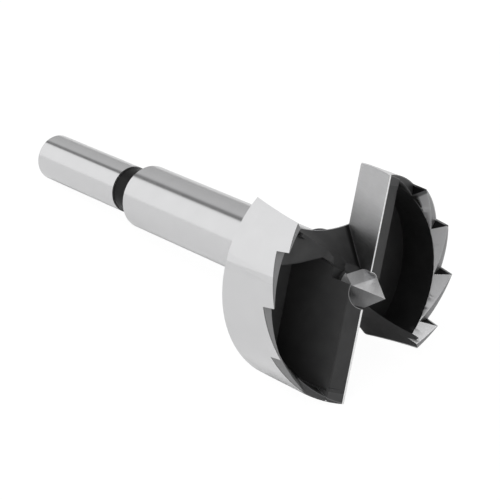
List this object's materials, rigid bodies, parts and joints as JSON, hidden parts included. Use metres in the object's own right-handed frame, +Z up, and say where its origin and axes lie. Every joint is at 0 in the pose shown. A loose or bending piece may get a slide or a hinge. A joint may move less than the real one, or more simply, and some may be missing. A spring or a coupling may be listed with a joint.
{
  "type": "forstner bit",
  "caption": "Saw-tooth forstner bit for wood: round stepped shank, two toothed lobes with flat lifting blades and open throats, three-sided centre spur.",
  "frame": {"origin": "on the surface that the bit lies on, under the centre of its bounding box", "axes": "+Z up, +X level and along the bit from the chuck end towards the spur; the bit's own axis rises about 8.7 degrees from +X because the head is wider than the shank"},
  "size_m": [0.086, 0.035, 0.0326],
  "materials": {
    "tool_steel": "ground steel, blued black in the neck, pockets and throats"
  },
  "bodies": {
    "root": {"forstner_bit": "tool_steel"}
  },
  "joints": []
}
